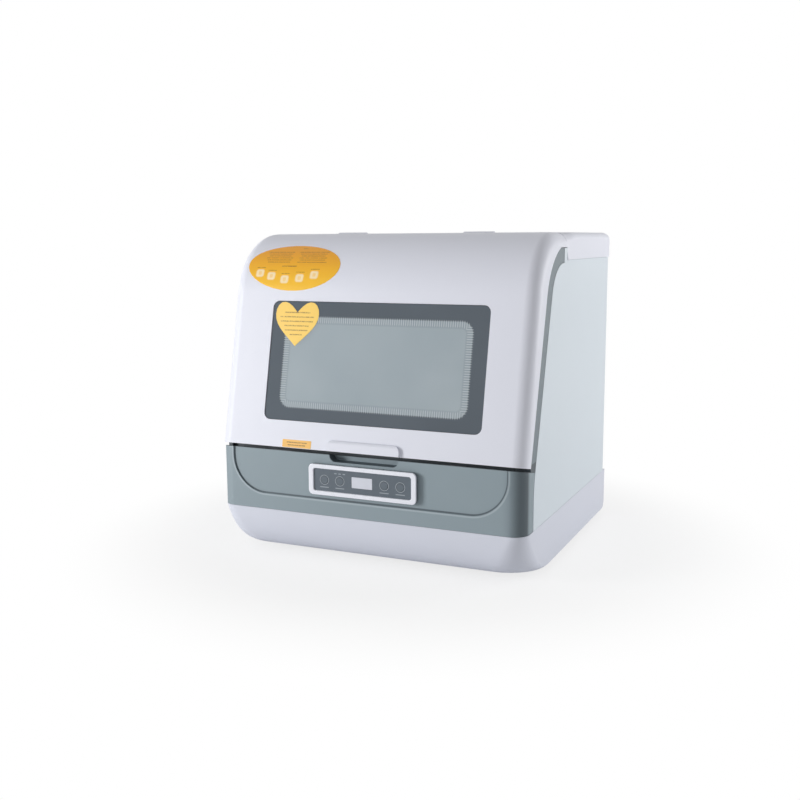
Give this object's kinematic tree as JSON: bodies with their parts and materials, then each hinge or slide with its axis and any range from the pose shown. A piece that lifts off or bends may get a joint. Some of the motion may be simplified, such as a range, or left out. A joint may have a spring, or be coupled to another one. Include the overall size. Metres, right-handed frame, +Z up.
{
  "type": "countertop dishwasher",
  "caption": "Countertop dishwasher with a curved lift-up front door and window, key panel under the door, lift-out dish rack and cutlery basket, turning spray arm and rear hose connections.",
  "frame": {"origin": "middle of the footprint of the bounding box, on the surface that the feet stand on", "axes": "+Z up, +X to the right seen from the front, the door faces -Y"},
  "size_m": [0.427, 0.411, 0.4278],
  "materials": {
    "case_white": "smooth, slightly glossy white with a faint lavender tint",
    "side_white": "satin pale blue-white",
    "slate_plastic": "satin blue-grey",
    "bezel_white": "glossy near-white",
    "overlay_grey": "satin dark grey",
    "lens_grey": "pale satin lens",
    "black_plastic": "matt black",
    "board_green": "printed board green",
    "key_grey": "satin grey",
    "liner_grey": "smooth pale grey",
    "window_glass": "grey-tinted glass with a printed border",
    "rubber_black": "matt rubber",
    "steel": "plain steel",
    "magnet": "dull grey",
    "label_orange": "printed film, orange",
    "label_yellow": "printed film, yellow",
    "sump_grey": "satin grey",
    "arm_grey": "satin pale grey",
    "coated_wire": "pale grey coating over wire",
    "pump_grey": "matt dark grey",
    "motor_metal": "dull metal",
    "white_plastic": "matt off-white",
    "hose_grey": "smooth grey"
  },
  "bodies": {
    "case": {"base_tray": "case_white", "side_panel_left": "side_white", "side_panel_right": "side_white", "rear_panel": "side_white", "top_cap": "case_white", "front_frame": "slate_plastic", "control_bezel": "bezel_white", "control_overlay": "overlay_grey", "display_lens": "lens_grey", "display_module": "black_plastic", "control_board": "board_green", "hinge_bracket_left": "steel", "hinge_bracket_right": "steel", "hinge_pins": "steel", "hinge_covers": "case_white", "catch_magnets": "magnet", "door_switch": "black_plastic", "tub": "liner_grey", "tub_seal": "rubber_black", "sump": "sump_grey", "fine_filter": "steel", "heating_element": "steel", "spray_post": "sump_grey", "spray_arm_nut": "slate_plastic", "wash_pump_housing": "pump_grey", "wash_motor": "motor_metal", "suction_sleeve": "rubber_black", "drain_pump_housing": "pump_grey", "drain_hose": "hose_grey", "drain_spigot": "hose_grey", "inlet_connector": "steel", "inlet_valve": "white_plastic", "inlet_hose": "hose_grey", "power_board": "board_green", "cord_gland": "rubber_black", "case_screws": "steel", "feet": "rubber_black"},
    "door": {"door_shell": "case_white", "door_liner": "liner_grey", "window_glass": "window_glass", "window_gasket": "rubber_black", "hinge_rail": "case_white", "catch_plates": "steel", "label_oval": "label_orange", "label_heart": "label_yellow", "label_strip": "label_yellow"},
    "rack": {"rack_basket": "coated_wire", "rack_tines": "coated_wire", "rack_feet": "sump_grey"},
    "cutlery_basket": {"cutlery_basket": "arm_grey"},
    "spray_arm": {"spray_arm": "arm_grey"},
    "wash_rotor": {"wash_impeller": "white_plastic"},
    "drain_rotor": {"drain_impeller": "white_plastic"},
    "filter": {"coarse_filter": "sump_grey"},
    "key_1": {"key_1": "key_grey"},
    "key_2": {"key_2": "key_grey"},
    "key_3": {"key_3": "key_grey"},
    "key_4": {"key_4": "key_grey"}
  },
  "joints": [
    {"name": "door_lift", "type": "hinge", "parent": "case", "child": "door", "pos_m": [0, -0.03455, 0.421], "axis": [-1, 0, 0], "range_deg": [0, 85]},
    {"name": "rack_lift", "type": "slide", "parent": "case", "child": "rack", "axis": [0, 0, 1], "range_m": [0, 0.08]},
    {"name": "basket_lift", "type": "slide", "parent": "rack", "child": "cutlery_basket", "axis": [0, 0, 1], "range_m": [0, 0.05]},
    {"name": "spray_arm_turn", "type": "hinge", "parent": "case", "child": "spray_arm", "pos_m": [0, 0.0095, 0.16], "axis": [0, 0, 1], "continuous": true},
    {"name": "wash_rotor_turn", "type": "hinge", "parent": "case", "child": "wash_rotor", "pos_m": [0, 0.0095, 0.095], "axis": [0, 0, 1], "continuous": true},
    {"name": "drain_rotor_turn", "type": "hinge", "parent": "case", "child": "drain_rotor", "pos_m": [0.09, -0.1005, 0.092], "axis": [1, 0, 0], "continuous": true},
    {"name": "filter_turn", "type": "hinge", "parent": "case", "child": "filter", "pos_m": [0, -0.1005, 0.13], "axis": [0, 0, 1], "range_deg": [0, 60]},
    {"name": "key_1_press", "type": "slide", "parent": "case", "child": "key_1", "axis": [0, 1, 0], "range_m": [0, 0.0006], "stiffness_N_per_m": 1500},
    {"name": "key_2_press", "type": "slide", "parent": "case", "child": "key_2", "axis": [0, 1, 0], "range_m": [0, 0.0006], "stiffness_N_per_m": 1500},
    {"name": "key_3_press", "type": "slide", "parent": "case", "child": "key_3", "axis": [0, 1, 0], "range_m": [0, 0.0006], "stiffness_N_per_m": 1500},
    {"name": "key_4_press", "type": "slide", "parent": "case", "child": "key_4", "axis": [0, 1, 0], "range_m": [0, 0.0006], "stiffness_N_per_m": 1500}
  ]
}
